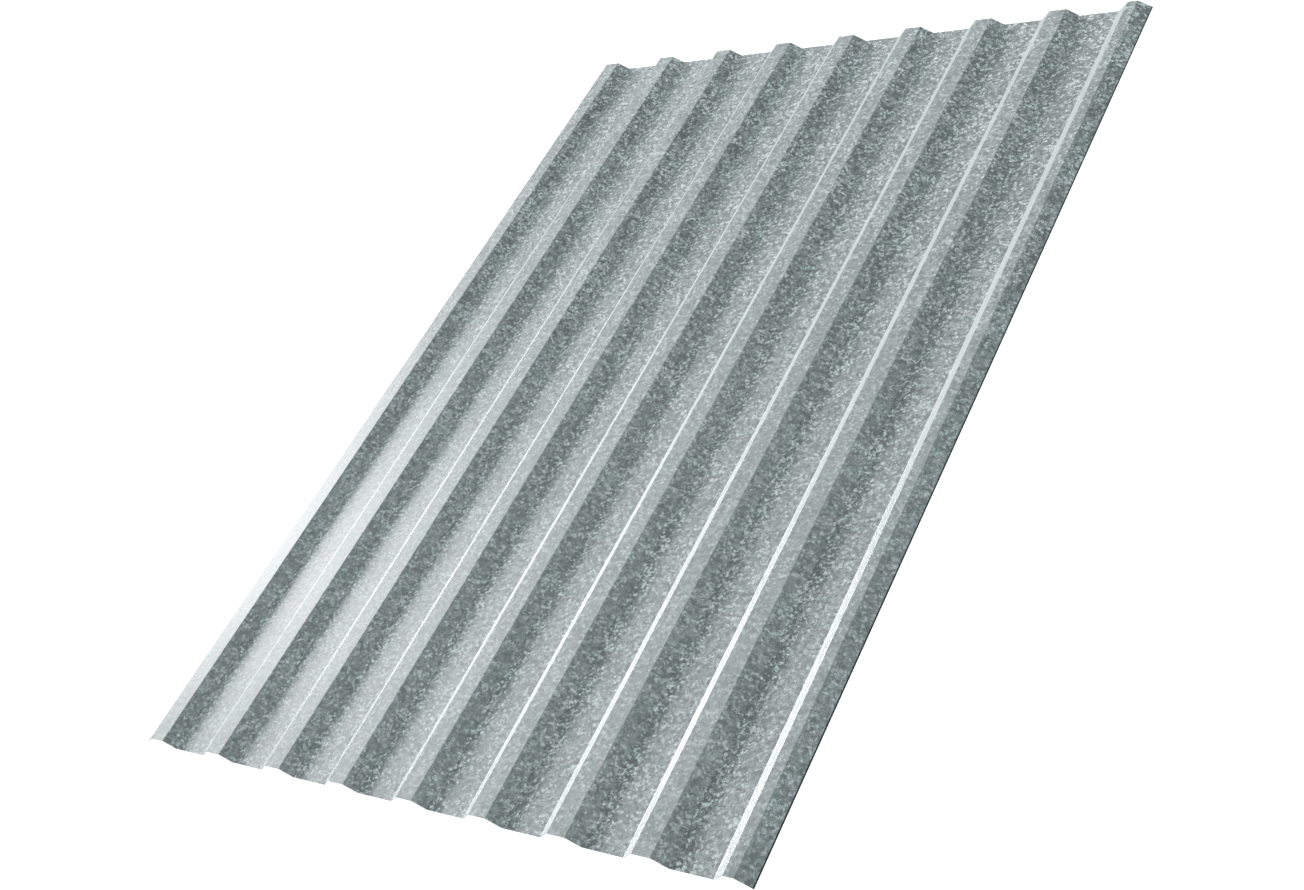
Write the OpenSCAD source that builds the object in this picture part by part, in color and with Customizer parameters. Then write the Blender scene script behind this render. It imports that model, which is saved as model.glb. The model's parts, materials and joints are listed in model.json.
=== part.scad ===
// Trapezoidal profiled sheet: one length of roll-formed galvanised steel for roofs, walls and fences.
// X runs across the ribs, Y along them and Z up. The origin is on the ground under the sheet's middle.

/* [Sheet] */
// Length of the sheet, along its ribs
sheet_length = 1700; // [500:50:6000]
// Thickness of the steel
sheet_thickness = 0.5; // [0.4:0.05:1.2]
// Height from the underside of the valleys to the top of the crests
profile_height = 17; // [12:0.5:30]

/* [Ribs] */
// Number of ribs across the sheet
rib_count = 9; // [2:1:12]
// Spacing of the ribs, from one to the next
rib_pitch = 137.5; // [110:0.5:250]
// Width of a crest, from corner to corner
crest_width = 31; // [20:0.5:45]
// Width that a flank covers, seen from above
flank_run = 19.5; // [10:0.5:26]

/* [Lap edge] */
// Width of the crest of the last rib, which the next sheet laps over
lap_crest_width = 17.25; // [10:0.25:45]
// Width that the flank at that free edge covers, seen from above
lap_flank_run = 21.5; // [10:0.5:26]

/* [Bends] */
// Radius on the inside of each bend
bend_radius = 1.5; // [0.5:0.25:2.5]
// Flat facets along each bend
bend_facets = 3; // [1:1:8]

/* [Hidden] */

crest_z = profile_height;
valley_z = sheet_thickness;
last_rib_x = (rib_count - 1) * rib_pitch;
section_width = flank_run + last_rib_x + lap_crest_width + lap_flank_run;

// The upper face as a line of sharp corners, from the first free edge to the last.
// A rib's left crest corner is on a whole number of pitches.
function rib_corners(x, crest, right_run) = [
    [x - flank_run, valley_z],
    [x, crest_z],
    [x + crest, crest_z],
    [x + crest + right_run, valley_z]
];
corners = [
    for (i = [0 : rib_count - 2])
        each rib_corners(i * rib_pitch, crest_width, flank_run),
    each rib_corners(last_rib_x, lap_crest_width, lap_flank_run)
];
last_corner = len(corners) - 1;

// Slope of the stretch that leaves corner i, in degrees, and the upward normal at a slope
function slope(i) =
    let (step = corners[i + 1] - corners[i])
    atan2(step[1], step[0]);
function up(angle) = [-sin(angle), cos(angle)];

// Corner i at a depth below the upper face, rounded about a centre that both faces share.
// Over a crest the centre is under the steel, and in a valley it is above it.
function bend(i, depth) =
    let (
        a = slope(i - 1),
        b = slope(i),
        side = b < a ? 1 : -1,
        outer = bend_radius + sheet_thickness,
        face_radius = side > 0 ? outer : bend_radius,
        radius = side > 0 ? outer - depth : bend_radius + depth,
        centre = corners[i] - side * face_radius * (up(a) + up(b)) / (1 + up(a) * up(b))
    )
    [for (s = [0 : bend_facets]) centre + side * radius * up(a + (b - a) * s / bend_facets)];

// The whole line at a depth below the upper face. Its free ends are cut square to the flanks.
function face_line(depth) = [
    corners[0] - depth * up(slope(0)),
    for (i = [1 : last_corner - 1]) each bend(i, depth),
    corners[last_corner] - depth * up(slope(last_corner - 1))
];

module section() {
    lower = face_line(sheet_thickness);
    polygon(concat(face_line(0), [for (i = [len(lower) - 1 : -1 : 0]) lower[i]]));
}

module profiled_sheet() {
    color("silver")
        translate([flank_run - section_width / 2, sheet_length / 2, 0])
            rotate([90, 0, 0])
                linear_extrude(height = sheet_length) section();
}

profiled_sheet();
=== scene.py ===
"""One length of galvanised profiled sheet, lying on the floor of a small white studio.

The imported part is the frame: its box gives the sheet's length, width and height, and the section's own sizes
are in the properties below. All sizes are in metres and all angles in radians, unless a name says otherwise.
"""

import json
import math

import bmesh
import bpy
from bpy.props import (
    FloatProperty,
    FloatVectorProperty,
    IntProperty,
    PointerProperty,
)
from bpy.types import Operator, Panel, PropertyGroup
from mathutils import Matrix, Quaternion, Vector

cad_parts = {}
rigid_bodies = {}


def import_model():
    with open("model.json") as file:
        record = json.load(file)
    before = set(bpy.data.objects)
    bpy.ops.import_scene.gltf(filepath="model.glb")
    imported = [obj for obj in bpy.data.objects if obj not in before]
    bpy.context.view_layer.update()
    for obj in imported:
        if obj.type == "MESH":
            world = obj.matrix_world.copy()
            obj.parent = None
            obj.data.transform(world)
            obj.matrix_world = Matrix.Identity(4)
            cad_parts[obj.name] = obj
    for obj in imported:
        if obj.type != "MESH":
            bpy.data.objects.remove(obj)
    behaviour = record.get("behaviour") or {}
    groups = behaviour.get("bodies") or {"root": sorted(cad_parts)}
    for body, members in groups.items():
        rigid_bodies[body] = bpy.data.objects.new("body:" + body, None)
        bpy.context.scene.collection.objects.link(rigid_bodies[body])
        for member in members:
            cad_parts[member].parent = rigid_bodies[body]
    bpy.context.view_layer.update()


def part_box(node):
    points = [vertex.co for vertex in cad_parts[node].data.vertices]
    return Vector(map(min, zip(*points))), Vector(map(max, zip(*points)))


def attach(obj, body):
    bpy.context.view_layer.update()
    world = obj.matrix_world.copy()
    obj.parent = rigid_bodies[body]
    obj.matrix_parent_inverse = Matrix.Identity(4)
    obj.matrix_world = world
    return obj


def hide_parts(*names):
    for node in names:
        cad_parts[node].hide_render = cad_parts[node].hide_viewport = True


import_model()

bl_info = {
    "name": "Galvanised Profiled Sheet",
    "version": (1, 0, 0),
    "blender": (4, 5, 0),
    "location": "3D View > Sidebar > Sheet",
    "description": "Roll-forms one length of trapezoidal sheet, coats it with zinc and lights it",
    "category": "Object",
}

NODE = "profiled_sheet"
PIECE = "galvanised_sheet"

# Places and sizes this close count as the same.
TOLERANCE = 0.0002
# The zinc's usual brightness, between the dark colour at 0 and the light one at 1.
USUAL_TONE = 0.33
# Faces that meet at less than this are shaded as one, so a bend's facets are and a cut edge isn't.
SMOOTH_ANGLE = math.radians(30)


# ---------------------------------------------------------------- sizes and colours


def length(name, description, default, **more):
    """A length in metres, shown in the scene's own units."""
    return FloatProperty(
        name=name,
        description=description,
        default=default,
        subtype="DISTANCE",
        unit="LENGTH",
        precision=5,
        **more,
    )


def angle(name, description, degrees):
    """An angle, given in degrees and kept in radians."""
    return FloatProperty(
        name=name,
        description=description,
        default=math.radians(degrees),
        subtype="ANGLE",
    )


def amount(name, description, default, **more):
    """A plain number."""
    return FloatProperty(name=name, description=description, default=default, **more)


def share(name, description, default):
    """A plain number from 0, none, to 1, all."""
    return amount(name, description, default, min=0.0, max=1.0)


def colour(name, description, default):
    """A colour, or what a colour is multiplied by."""
    return FloatVectorProperty(
        name=name,
        description=description,
        default=default,
        size=3,
        subtype="COLOR",
        min=0.0,
        soft_max=1.0,
    )


class SheetSection(PropertyGroup):
    """The rolled section, measured on its upper face between sharp corners."""

    pitch: length("Pitch", "Spacing of the ribs", 0.1375, min=0.05)
    crest: length("Crest", "Flat width of a crest", 0.031, min=0.005)
    flank: length("Flank", "Width that a flank covers, seen from above", 0.0195, min=0.001)
    lap_crest: length("Lap crest", "Flat width of the last rib's crest", 0.01725, min=0.005)
    lap_flank: length("Lap flank", "Width that the flank at the last edge covers", 0.0215, min=0.001)
    thickness: length("Thickness", "Thickness of the steel", 0.0005, min=0.0001)
    bend_radius: length("Bend radius", "Radius on the inside of each bend", 0.0015, min=0.0001)
    bend_facets: IntProperty(
        name="Bend facets",
        description="Faces around each bend",
        default=6,
        min=2,
        max=16,
    )


class ZincCoat(PropertyGroup):
    """The zinc, the pattern of its crystals, and the light and shade painted on them. A brightness runs from
    0, dark zinc, to 1, light zinc.
    """

    dark: colour("Dark zinc", "Colour of the dull crystals", (0.14, 0.14, 0.14))
    light: colour("Light zinc", "Colour of the bright crystals", (0.90, 0.90, 0.90))
    cool: colour("Cool cast", "What the cooler patches are multiplied by", (0.955, 0.985, 0.985))
    warm: colour("Warm cast", "What the warmer patches are multiplied by", (1.0, 0.98, 0.985))
    grain: length("Crystal", "Usual width of a crystal", 0.0046, min=0.001)
    cloud: length("Cloud", "Width of the lighter and darker clouds", 0.06, min=0.01)
    near_end: amount("Near end", "How much bolder the crystals are at the near end", -0.2)
    far_end: amount("Far end", "How much bolder the crystals are at the far end", 0.45)
    # The next two settings paint shade: bolder crystals past each right flank's foot stand in for the mottled
    # edge of the rib's shadow.
    drag: amount("Drag", "How much bolder they are at the foot of a right flank", 0.68)
    shade_mottle_reach: length("Drag reach", "How far that strip reaches from the foot", 0.029, min=0.001)
    # The next two settings paint light: even crests stand in for the glare that washes their pattern out.
    glare_evening: share("Rub", "How far the crests are rubbed even", 0.35)
    glare_even_tone: share("Rubbed tone", "Brightness of rubbed zinc", 0.24)
    # The next three settings paint a highlight: the left flanks are evened towards a tone that is brighter at
    # the near end, standing in for the reflection they catch.
    flank_highlight: share("Wipe", "How far the left flanks are wiped even", 0.8)
    flank_highlight_near: share("Wiped tone, near", "Brightness of wiped zinc at the near end", 0.5)
    flank_highlight_far: share("Wiped tone, far", "Brightness of wiped zinc at the far end", 0.31)
    # This setting paints a highlight: a thin bright line before the toes of the first ribs.
    toe_highlight: share("Polish", "How bright the line along a left flank's foot is", 0.85)
    # The band beside the long edges takes the cut steel's dark colour.
    edge_band: length("Burn", "Width of the dark line beside a long edge", 0.0017, min=0.0001)
    cut_steel: colour("Cut steel", "Colour of the steel at the cut edges", (0.03, 0.032, 0.033))


class Studio(PropertyGroup):
    """Lights, floor and camera. A direction's azimuth 0 is towards -Y, and it turns towards +X."""

    key_azimuth: angle("Key azimuth", "Direction that the main light comes from", 243.8)
    key_elevation: angle("Key elevation", "Height of the main light above the horizon", 16.4)
    key_spread: angle("Key spread", "Angle that the main light fills", 14)
    key_power: amount("Key power", "Strength of the main light", 3.1, min=0.0)
    shine_azimuth: angle("Shine azimuth", "Direction that the reflected light comes from", 244)
    shine_elevation: angle("Shine elevation", "Height of the reflected light above the horizon", 23)
    shine_spread: angle("Shine spread", "Angle that the reflected light fills", 7)
    shine_power: amount("Shine power", "Strength of the reflected light", 0.6, min=0.0)
    shine_colour: colour("Shine colour", "Colour of the reflected light", (1.0, 0.94, 0.93))
    sky: colour("Sky", "Colour of the light from all round", (0.545, 0.648, 0.66))
    floor: colour("Floor", "Colour of the floor", (0.9, 0.9, 0.9))
    floor_glow: colour("Floor glow", "Light that keeps the floor plain white", (0.92, 0.9, 0.9))
    floor_size: length("Floor size", "Side of the square floor", 600.0, min=10.0)
    floor_gap: length("Floor gap", "How far the floor lies below the sheet", 0.0002, min=0.0)
    lens: amount("Lens", "Focal length of the camera in millimetres", 49.13, min=10.0)
    sensor: amount("Sensor", "Width of the camera's sensor in millimetres", 36.0, min=1.0)
    camera_azimuth: angle("Camera azimuth", "Direction from the sheet's middle to the camera", 46.598)
    camera_elevation: angle("Camera elevation", "Height of the camera above the horizon", 36.151)
    camera_distance: length("Camera distance", "From the sheet's middle to the camera", 2.93685, min=0.1)
    aim_azimuth: angle("Aim azimuth", "Direction that the camera looks back from", 53.015)
    aim_elevation: angle("Aim elevation", "Angle that the camera looks down at", 35.202)
    roll: angle("Roll", "Turn of the camera about its own line of sight", 34.574)
    shift_x: amount("Shift X", "Sideways shift of the lens", 0.11417)
    shift_y: amount("Shift Y", "Upward shift of the lens", -0.01232)


# ---------------------------------------------------------------- small helpers


def valley_width(section):
    """Flat width between two ribs."""
    return section.pitch - section.crest - 2 * section.flank


def rib_rise(section, low, high):
    """How far the steel climbs from a valley to a crest."""
    return high.z - low.z - section.thickness


def deselect_all():
    for thing in bpy.context.view_layer.objects:
        thing.select_set(False)


def direction(azimuth, elevation):
    """Unit vector towards an azimuth and elevation."""
    flat = math.cos(elevation)
    return Vector((math.sin(azimuth) * flat, -math.cos(azimuth) * flat, math.sin(elevation)))


def select_edges(test):
    """In edit mode, selects only the edges whose two ends pass the test."""
    mesh = bpy.context.edit_object.data
    bpy.ops.mesh.select_all(action="DESELECT")
    shape = bmesh.from_edit_mesh(mesh)
    for edge in shape.edges:
        edge.select_set(test(edge.verts[0].co, edge.verts[1].co))
    bmesh.update_edit_mesh(mesh)


def runs_along(a, b):
    """True for an edge that runs the length of the sheet."""
    return abs(a.x - b.x) < TOLERANCE and abs(a.z - b.z) < TOLERANCE


def pull_edge(x, step):
    """Extrudes the long edge at x by a step in X and Z, and returns the new edge's x."""
    select_edges(lambda a, b: runs_along(a, b) and abs(a.x - x) < TOLERANCE)
    bpy.ops.mesh.extrude_region_move(TRANSFORM_OT_translate={"value": (step[0], 0.0, step[1])})
    return x + step[0]


def apply_modifier(kind, **settings):
    """Adds a modifier to the active object, sets it and applies it."""
    bpy.ops.object.modifier_add(type=kind)
    modifier = bpy.context.object.modifiers[-1]
    for name, value in settings.items():
        setattr(modifier, name, value)
    bpy.ops.object.modifier_apply(modifier=modifier.name)


# ---------------------------------------------------------------- materials


class Nodes:
    """A node tree that is written left to right."""

    def __init__(self, tree):
        self.tree = tree
        tree.nodes.clear()

    def add(self, kind, links=None, **settings):
        """Adds a node, sets its properties and its inputs, and returns it.

        A key in links is an input's name or number, and its value is a socket or a plain value.
        """
        node = self.tree.nodes.new(kind)
        for name, value in settings.items():
            setattr(node, name, value)
        for name, value in (links or {}).items():
            if isinstance(value, bpy.types.NodeSocket):
                self.tree.links.new(value, node.inputs[name])
            else:
                node.inputs[name].default_value = value
        return node

    def math(self, operation, a, b=0.0):
        return self.add("ShaderNodeMath", {0: a, 1: b}, operation=operation).outputs[0]

    def distance(self, a, b):
        """How far apart two values are."""
        return self.math("ABSOLUTE", self.math("SUBTRACT", a, b))

    def weighted_sum(self, parts):
        """Adds up values, each times its own weight."""
        total = None
        for value, weight in parts:
            part = self.math("MULTIPLY", value, weight)
            total = part if total is None else self.math("ADD", total, part)
        return total

    def ramp(self, value, low, high, to_low=0.0, to_high=1.0):
        """A smooth step from low to high."""
        inputs = {"Value": value, 1: low, 2: high, 3: to_low, 4: to_high}
        return self.add("ShaderNodeMapRange", inputs, interpolation_type="SMOOTHSTEP").outputs[0]

    def noise(self, vector, scale, detail=2.0, roughness=0.5):
        """A noise texture, whose first output is its value and whose second is its colour."""
        inputs = {"Vector": vector, "Scale": scale, "Detail": detail, "Roughness": roughness}
        return self.add("ShaderNodeTexNoise", inputs)

    def crystals(self, vector, scale):
        """Cells, one for each crystal, which have a random colour and a distance from their middle."""
        inputs = {"Vector": vector, "Scale": scale, "Randomness": 1.0}
        return self.add("ShaderNodeTexVoronoi", inputs).outputs

    def mix_value(self, factor, a, b):
        return self.add("ShaderNodeMix", {0: factor, 2: a, 3: b}, data_type="FLOAT").outputs[0]

    def mix_colour(self, factor, a, b):
        node = self.add("ShaderNodeMix", {"Factor": factor}, data_type="RGBA")
        for socket, value in ((node.inputs[6], a), (node.inputs[7], b)):
            if isinstance(value, bpy.types.NodeSocket):
                self.tree.links.new(value, socket)
            else:
                socket.default_value = (*value, 1.0)
        return node.outputs[2]

    def multiply_colour(self, a, b):
        """The product of two colours that are both linked."""
        node = self.add("ShaderNodeMix", {"Factor": 1.0}, data_type="RGBA", blend_type="MULTIPLY")
        self.tree.links.new(a, node.inputs[6])
        self.tree.links.new(b, node.inputs[7])
        return node.outputs[2]


def spangle_group():
    """Zinc crystals: their brightness, the relief they leave, and the drift of their colour."""
    tree = bpy.data.node_groups.new("Zinc spangle", "ShaderNodeTree")
    tree.interface.new_socket(name="Vector", in_out="INPUT", socket_type="NodeSocketVector")
    for name in ("Crystals per metre", "Clouds per metre"):
        tree.interface.new_socket(name=name, in_out="INPUT", socket_type="NodeSocketFloat")
    for name in ("Brightness", "Relief", "Drift"):
        tree.interface.new_socket(name=name, in_out="OUTPUT", socket_type="NodeSocketFloat")
    n = Nodes(tree)
    given = n.add("NodeGroupInput").outputs
    vector, fine, broad = given[0], given[1], given[2]

    # The crystals' outlines wander, because they freeze into one another.
    wander_scale = n.math("MULTIPLY", fine, 0.9)
    wander_reach = n.math("DIVIDE", 1.5, fine)
    wander = n.noise(vector, wander_scale).outputs["Color"]
    centre = (0.5, 0.5, 0.5)
    offset = n.add("ShaderNodeVectorMath", {0: wander, 1: centre}, operation="SUBTRACT").outputs[0]
    moved = n.add("ShaderNodeVectorMath", {0: offset, 3: wander_reach}, operation="SCALE").outputs[0]
    bent = n.add("ShaderNodeVectorMath", {0: vector, 1: moved}, operation="ADD").outputs[0]

    # Most crystals are dull, and some are bright flakes with soft borders.
    cells = n.crystals(bent, fine)
    own = n.add("ShaderNodeSeparateColor", {0: cells["Color"]}).outputs[0]
    middle = n.ramp(cells["Distance"], 0.3, 0.75, 1.0, 0.2)
    flake = n.math("MULTIPLY", n.ramp(own, 0.55, 0.75), middle)
    # Crumbs of zinc lie among them.
    crumb_scale = n.math("MULTIPLY", fine, 2.3)
    crumbs = n.crystals(bent, crumb_scale)
    crumb = n.add("ShaderNodeSeparateColor", {0: crumbs["Color"]}).outputs[1]

    # Bright curls follow the crystals' borders, in patches.
    swirl_scale = n.math("MULTIPLY", fine, 0.6)
    swirl = n.noise(bent, swirl_scale, roughness=0.6).outputs[0]
    curl = n.ramp(n.distance(swirl, 0.5), 0.01, 0.05, 1.0, 0.0)
    patch_scale = n.math("MULTIPLY", fine, 0.35)
    patch = n.ramp(n.noise(vector, patch_scale).outputs[0], 0.4, 0.62)
    curl = n.math("MULTIPLY", curl, patch)

    # Duller ground between them, which also drifts over wider areas.
    ground_scale = n.math("MULTIPLY", fine, 0.6)
    ground = n.ramp(n.noise(vector, ground_scale, 3.0, 0.6).outputs[0], 0.3, 0.7)
    cloud = n.ramp(n.noise(vector, broad, 3.0).outputs[0], 0.3, 0.7)
    layers = ((flake, 0.42), (crumb, 0.26), (curl, 0.42), (ground, 0.3), (cloud, 0.1))
    bright = n.weighted_sum(layers)

    # Here and there the crystals are too fine to tell apart, and the zinc is a calm, even grey.
    calm_brightness = 0.46
    calm_scale = n.math("MULTIPLY", fine, 0.16)
    calm = n.ramp(n.noise(vector, calm_scale, 3.0, 0.6).outputs[0], 0.38, 0.6, 0.4, 0.0)
    bright = n.mix_value(calm, bright, calm_brightness)

    relief = n.weighted_sum(((ground, 0.8), (flake, 0.2)))
    drift_scale = n.math("MULTIPLY", broad, 2.0)
    drift = n.noise(vector, drift_scale, 3.0, 0.7).outputs[0]
    n.add("NodeGroupOutput", {0: bright, 1: relief, 2: drift})
    return tree


def tone_with_painted_light(n, tone, sides, coat, section, corner):
    """The zinc's brightness, with painted shade, painted highlights and glare-evened crests laid on it.

    The sides are the X, Y and Z of a point, and the corner is the highest corner of the sheet's box.
    """
    x, y, z = sides[0], sides[1], sides[2]
    # Past the foot of each right flank comes a valley, then a left flank from its toe to its shoulder. All
    # are measured in pitches from that foot.
    foot = section.crest + 2 * section.flank - corner.x
    beyond = n.math("FRACT", n.math("DIVIDE", n.math("SUBTRACT", x, foot), section.pitch))
    toe = valley_width(section) / section.pitch
    shoulder = toe + section.flank / section.pitch

    # Painted shade: the crystals are bolder just past the foot of each right flank, standing in for the
    # mottled edge of the shadow that the rib casts there.
    reach = coat.shade_mottle_reach / section.pitch
    mottled_shade = n.ramp(beyond, 0.6 * reach, 1.2 * reach, coat.drag, 0.0)
    # They also grow bolder towards the far end, from a little before the middle.
    along = n.ramp(y, -0.4 * corner.y, corner.y, coat.near_end, coat.far_end)
    bolder = n.math("ADD", mottled_shade, along)
    contrast = n.math("SUBTRACT", tone, USUAL_TONE)
    tone = n.math("ADD", tone, n.math("MULTIPLY", bolder, contrast))

    # Painted highlight: the left flanks are evened towards a tone that is brighter at the near end, standing
    # in for the reflection that they catch.
    blur = 0.01
    past_toe = n.ramp(beyond, toe - blur, toe + blur, 0.0, coat.flank_highlight)
    before_shoulder = n.ramp(beyond, shoulder - blur, shoulder + blur, 1.0, 0.0)
    highlighted_flank = n.math("MULTIPLY", past_toe, before_shoulder)
    flank_highlight_tone = n.ramp(y, -corner.y, corner.y, coat.flank_highlight_near, coat.flank_highlight_far)
    tone = n.mix_value(highlighted_flank, tone, flank_highlight_tone)

    # Painted highlight: a thin bright line just before the toe of the first ribs. It fades by the third rib,
    # and towards the far end.
    line_place = toe - 0.0018 / section.pitch
    line_core = 0.0009 / section.pitch
    line_edge = 0.0018 / section.pitch
    line = n.ramp(n.distance(beyond, line_place), line_core, line_edge, coat.toe_highlight, 0.0)
    early = n.ramp(x, section.pitch - corner.x, 3.0 * section.pitch - corner.x, 1.0, 0.0)
    fading = n.ramp(y, 0.2 * corner.y, 0.95 * corner.y, 1.0, 0.0)
    line = n.math("MULTIPLY", line, n.math("MULTIPLY", early, fading))
    tone = n.mix_value(line, tone, 1.0)

    # Painted light: the crests' pattern is evened towards one tone, standing in for the glare that washes it
    # out.
    glare_even_start = corner.z - 0.002
    glare_even_full = corner.z - 0.0005
    glare_evened = n.ramp(z, glare_even_start, glare_even_full, 0.0, coat.glare_evening)
    return n.mix_value(glare_evened, tone, coat.glare_even_tone)


def zinc_material(coat, section, corner):
    """Hot-dip zinc: crystals of uneven brightness under a thin, even sheen and a dull bloom."""
    material = bpy.data.materials.new("galvanised_steel")
    material.use_nodes = True
    n = Nodes(material.node_tree)
    place = n.add("ShaderNodeTexCoord").outputs["Object"]
    sides = n.add("ShaderNodeSeparateXYZ", {0: place}).outputs
    spangle = n.add("ShaderNodeGroup", node_tree=spangle_group())
    n.tree.links.new(place, spangle.inputs["Vector"])
    spangle.inputs["Crystals per metre"].default_value = 1 / coat.grain
    spangle.inputs["Clouds per metre"].default_value = 1 / coat.cloud
    bright, relief, drift = spangle.outputs[0], spangle.outputs[1], spangle.outputs[2]
    tone = tone_with_painted_light(n, n.ramp(bright, 0.12, 1.17), sides, coat, section, corner)

    base = n.mix_colour(tone, coat.dark, coat.light)
    # Patches of the zinc lean towards a warmer or a cooler grey.
    cast = n.mix_colour(n.ramp(drift, 0.35, 0.65), coat.cool, coat.warm)
    base = n.multiply_colour(base, cast)
    # A thin band beside the two long edges takes the cut steel's dark colour.
    across = n.math("ABSOLUTE", sides[0])
    edge_band_start = corner.x - coat.edge_band
    edge_band_blur = 0.0002
    edge_banded = n.ramp(across, edge_band_start - edge_band_blur, edge_band_start + edge_band_blur)
    base = n.mix_colour(edge_banded, base, coat.cut_steel)

    # Bright crystals are smoother than dull ones, and less of the sheen lies on them.
    roughness = n.ramp(tone, 0.0, 1.0, 0.62, 0.5)
    metallic = n.ramp(tone, 0.0, 1.0, 0.1, 0.0)
    sheen = n.ramp(tone, 0.0, 1.0, 1.0, 0.25)
    coated = n.math("MULTIPLY", sheen, n.math("SUBTRACT", 1.0, edge_banded))
    bump = n.add("ShaderNodeBump", {"Strength": 0.1, "Distance": 0.0002, "Height": relief})
    surface = n.add(
        "ShaderNodeBsdfPrincipled",
        {
            "Base Color": base,
            "Roughness": roughness,
            "Metallic": metallic,
            "Normal": bump.outputs[0],
            "Specular IOR Level": 0.0,
            "Coat Weight": coated,
            "Coat Roughness": 0.3,
            "Coat IOR": 1.5,
            "Sheen Weight": 0.75,
            "Sheen Roughness": 0.5,
        },
    )
    n.add("ShaderNodeOutputMaterial", {"Surface": surface.outputs[0]})
    return material


def cut_steel_material(coat):
    """Bare, darkened steel at the sheared edges."""
    material = bpy.data.materials.new("cut_steel")
    material.use_nodes = True
    n = Nodes(material.node_tree)
    place = n.add("ShaderNodeTexCoord").outputs["Object"]
    streaks_per_metre = 900.0
    streak = n.noise(place, streaks_per_metre).outputs[0]
    brighter = tuple(2.0 * channel for channel in coat.cut_steel)
    base = n.mix_colour(n.ramp(streak, 0.35, 0.7), coat.cut_steel, brighter)
    surface = n.add(
        "ShaderNodeBsdfPrincipled",
        {"Base Color": base, "Roughness": 0.6, "Metallic": 0.7},
    )
    n.add("ShaderNodeOutputMaterial", {"Surface": surface.outputs[0]})
    return material


def floor_material(stage):
    """Plain pale paint that glows a little, and is clear from below."""
    material = bpy.data.materials.new("studio_floor")
    material.use_nodes = True
    n = Nodes(material.node_tree)
    surface = n.add(
        "ShaderNodeBsdfPrincipled",
        {
            "Base Color": (*stage.floor, 1.0),
            "Roughness": 0.9,
            "Emission Color": (*stage.floor_glow, 1.0),
            "Emission Strength": 1.0,
        },
    )
    # From below, the floor lets the sheet's underside be seen.
    below = n.add("ShaderNodeNewGeometry").outputs["Backfacing"]
    clear = n.add("ShaderNodeBsdfTransparent")
    seen = n.add("ShaderNodeMixShader", {0: below, 1: surface.outputs[0], 2: clear.outputs[0]})
    n.add("ShaderNodeOutputMaterial", {"Surface": seen.outputs[0]})
    return material


# ---------------------------------------------------------------- the sheet


def fold_sheet(section, low, high):
    """Folds a strip, rib by rib, along the middle of the steel's thickness, with sharp corners."""
    half = section.thickness / 2
    rise = rib_rise(section, low, high)
    tilt = math.atan2(rise, section.flank)
    lap_tilt = math.atan2(rise, section.lap_flank)
    # A corner of the middle line lies inside the upper face's corner at a crest, and outside it in a valley.
    inset = half * math.tan(tilt / 2)
    lap_inset = half * math.tan(lap_tilt / 2)
    span = high.x - low.x - section.flank - section.lap_crest - section.lap_flank
    gaps = round(span / section.pitch)
    if abs(span - gaps * section.pitch) > TOLERANCE:
        raise RuntimeError("the section's sizes don't add up to the frame's width")
    left = low.x + section.flank + inset
    right = low.x + section.flank + section.crest - inset

    # The first crest, as a plane that is stretched to its width and the sheet's length.
    middle = ((left + right) / 2, (low.y + high.y) / 2, high.z - half)
    bpy.ops.mesh.primitive_plane_add(size=1.0, location=middle)
    sheet = bpy.context.object
    sheet.name = PIECE
    bpy.ops.object.mode_set(mode="EDIT")
    bpy.context.tool_settings.mesh_select_mode = (False, True, False)
    bpy.ops.mesh.select_all(action="SELECT")
    bpy.ops.transform.resize(value=(right - left, high.y - low.y, 1.0))
    bpy.ops.object.mode_set(mode="OBJECT")
    bpy.ops.object.transform_apply(location=True, rotation=True, scale=True)
    bpy.ops.object.mode_set(mode="EDIT")

    # The first flank ends square to itself, so its middle line stops a little short of the upper face.
    run = section.flank + inset - half * math.sin(tilt)
    drop = rise - half + half * math.cos(tilt)
    pull_edge(left, (-run, -drop))

    valley = valley_width(section)
    for rib in range(1, gaps + 1):
        last = rib == gaps
        right = pull_edge(right, (section.flank, -rise))
        right = pull_edge(right, (valley + 2 * inset, 0.0))
        right = pull_edge(right, (section.flank, rise))
        crest = section.lap_crest if last else section.crest
        right = pull_edge(right, (crest - inset - (lap_inset if last else inset), 0.0))

    # The last flank ends square to itself too.
    run = section.lap_flank + lap_inset - half * math.sin(lap_tilt)
    drop = rise - half + half * math.cos(lap_tilt)
    pull_edge(right, (run, -drop))
    return sheet


def round_folds(section, low, high):
    """Rounds every inner fold to the bend's radius at the middle of the steel."""
    rise = rib_rise(section, low, high)
    half_turn = math.atan2(rise, section.flank) / 2
    reach = (section.bend_radius + section.thickness / 2) * math.tan(half_turn)
    # The two free edges lie closer to the box's sides than this, and aren't folds.
    edge_zone = 0.002
    start, end = low.x + edge_zone, high.x - edge_zone
    select_edges(lambda a, b: runs_along(a, b) and start < a.x < end)
    bpy.ops.mesh.bevel(
        offset_type="OFFSET",
        offset=reach,
        segments=section.bend_facets,
        profile=0.5,
        affect="EDGES",
        clamp_overlap=False,
    )


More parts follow.
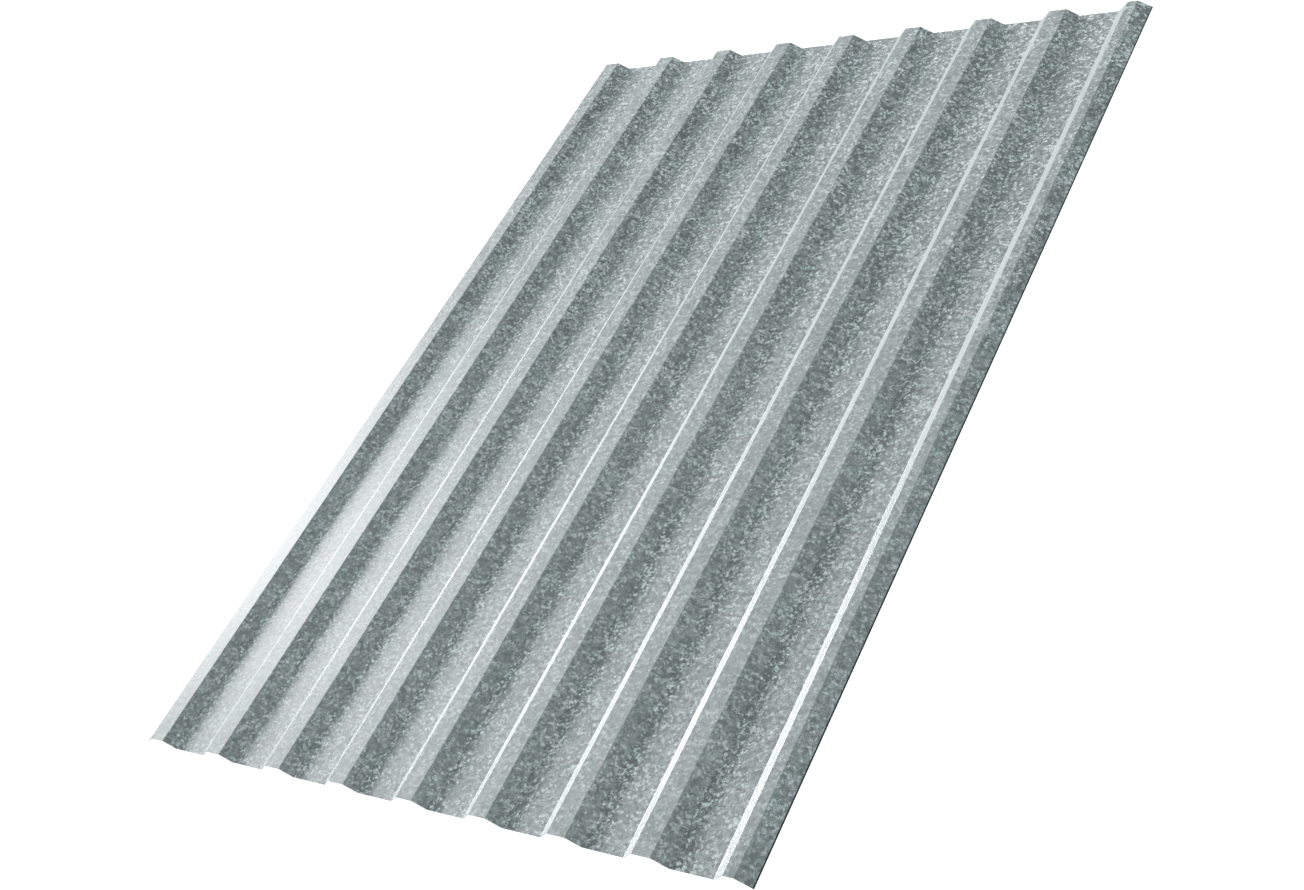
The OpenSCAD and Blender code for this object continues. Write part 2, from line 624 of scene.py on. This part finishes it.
class SHEET_OT_form(Operator):
    """Folds, thickens and coats the sheet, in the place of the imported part"""

    bl_idname = "profiled_sheet.form"
    bl_label = "Form the Sheet"

    def execute(self, context):
        section = context.scene.sheet_section
        coat = context.scene.zinc_coat
        low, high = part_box(NODE)
        deselect_all()
        sheet = fold_sheet(section, low, high)
        round_folds(section, low, high)
        bpy.ops.object.mode_set(mode="OBJECT")
        sheet.data.name = PIECE
        # The cut steel is the second material, which the thickened edges take.
        sheet.data.materials.append(zinc_material(coat, section, high))
        sheet.data.materials.append(cut_steel_material(coat))
        apply_modifier(
            "SOLIDIFY",
            thickness=section.thickness,
            offset=0.0,
            use_even_offset=True,
            use_quality_normals=True,
            material_offset_rim=1,
        )
        bpy.ops.object.mode_set(mode="EDIT")
        bpy.ops.mesh.select_all(action="SELECT")
        bpy.ops.mesh.normals_make_consistent(inside=False)
        bpy.ops.object.mode_set(mode="OBJECT")
        bpy.ops.object.shade_smooth_by_angle(angle=SMOOTH_ANGLE)
        apply_modifier("WEIGHTED_NORMAL", mode="FACE_AREA", weight=100, keep_sharp=True)
        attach(sheet, "root")
        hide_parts(NODE)
        return {"FINISHED"}


# ---------------------------------------------------------------- the studio


def add_floor(stage):
    """A wide floor, just below the sheet."""
    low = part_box(NODE)[0]
    deselect_all()
    place = (0.0, 0.0, low.z - stage.floor_gap)
    bpy.ops.mesh.primitive_plane_add(size=stage.floor_size, location=place)
    floor = bpy.context.object
    floor.name = "studio_floor"
    bpy.ops.object.transform_apply(location=True, rotation=True, scale=True)
    floor.data.materials.append(floor_material(stage))
    # The floor is only looked at, and the sky lights the sheet from all round.
    floor.visible_diffuse = False
    floor.visible_glossy = False
    floor.visible_shadow = False


def add_sun(name, azimuth, elevation, spread, power):
    """A soft, far light that falls on the sheet only, so that the floor stays plain."""
    light = bpy.data.lights.new(name, "SUN")
    light.energy = power
    light.angle = spread
    sun = bpy.data.objects.new(name, light)
    bpy.context.scene.collection.objects.link(sun)
    toward = direction(azimuth, elevation)
    sun.rotation_mode = "QUATERNION"
    sun.rotation_quaternion = toward.to_track_quat("Z", "Y")
    only_sheet = bpy.data.collections.new("lit_by_" + name)
    only_sheet.objects.link(bpy.data.objects[PIECE])
    sun.light_linking.receiver_collection = only_sheet
    return sun


def add_sky(stage):
    """Even light from all round."""
    world = bpy.data.worlds.new("studio")
    bpy.context.scene.world = world
    world.use_nodes = True
    background = world.node_tree.nodes["Background"]
    background.inputs["Color"].default_value = (*stage.sky, 1.0)
    background.inputs["Strength"].default_value = 1.0


def add_camera(stage):
    """A camera that looks down on the sheet from the right of its near end."""
    low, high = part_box(NODE)
    camera_data = bpy.data.cameras.new("camera")
    camera_data.sensor_width = stage.sensor
    camera_data.lens = stage.lens
    camera_data.shift_x = stage.shift_x
    camera_data.shift_y = stage.shift_y
    camera_data.clip_end = 2 * stage.floor_size
    camera = bpy.data.objects.new("camera", camera_data)
    bpy.context.scene.collection.objects.link(camera)
    outward = direction(stage.camera_azimuth, stage.camera_elevation)
    camera.location = (low + high) / 2 + outward * stage.camera_distance
    backward = direction(stage.aim_azimuth, stage.aim_elevation)
    level = (-backward).to_track_quat("-Z", "Y")
    camera.rotation_mode = "QUATERNION"
    camera.rotation_quaternion = level @ Quaternion((0.0, 0.0, 1.0), -stage.roll)
    bpy.context.scene.camera = camera


class SHEET_OT_stage(Operator):
    """Lays the floor and sets the lights and the camera"""

    bl_idname = "profiled_sheet.stage"
    bl_label = "Set the Stage"

    def execute(self, context):
        stage = context.scene.studio
        add_floor(stage)
        add_sun("key", stage.key_azimuth, stage.key_elevation, stage.key_spread, stage.key_power)
        shine = add_sun(
            "shine",
            stage.shine_azimuth,
            stage.shine_elevation,
            stage.shine_spread,
            stage.shine_power,
        )
        shine.data.color = stage.shine_colour
        # The second light is there for its reflection only.
        shine.visible_diffuse = False
        add_sky(stage)
        add_camera(stage)
        context.scene.view_settings.view_transform = "Standard"
        return {"FINISHED"}


class SHEET_PT_panel(Panel):
    """Sizes, colours and steps of the profiled sheet"""

    bl_label = "Profiled Sheet"
    bl_idname = "SHEET_PT_panel"
    bl_space_type = "VIEW_3D"
    bl_region_type = "UI"
    bl_category = "Sheet"

    def draw(self, context):
        for title, group in (("Section", "sheet_section"), ("Zinc", "zinc_coat"), ("Studio", "studio")):
            box = self.layout.box()
            box.label(text=title)
            settings = getattr(context.scene, group)
            for name in settings.__annotations__:
                box.prop(settings, name)
        for step in (SHEET_OT_form, SHEET_OT_stage):
            self.layout.operator(step.bl_idname)


CLASSES = (SheetSection, ZincCoat, Studio, SHEET_OT_form, SHEET_OT_stage, SHEET_PT_panel)


def register():
    for item in CLASSES:
        bpy.utils.register_class(item)
    bpy.types.Scene.sheet_section = PointerProperty(type=SheetSection)
    bpy.types.Scene.zinc_coat = PointerProperty(type=ZincCoat)
    bpy.types.Scene.studio = PointerProperty(type=Studio)


def unregister():
    del bpy.types.Scene.studio
    del bpy.types.Scene.zinc_coat
    del bpy.types.Scene.sheet_section
    for item in reversed(CLASSES):
        bpy.utils.unregister_class(item)


def main():
    register()
    bpy.ops.profiled_sheet.form()
    bpy.ops.profiled_sheet.stage()


if __name__ == "__main__":
    main()
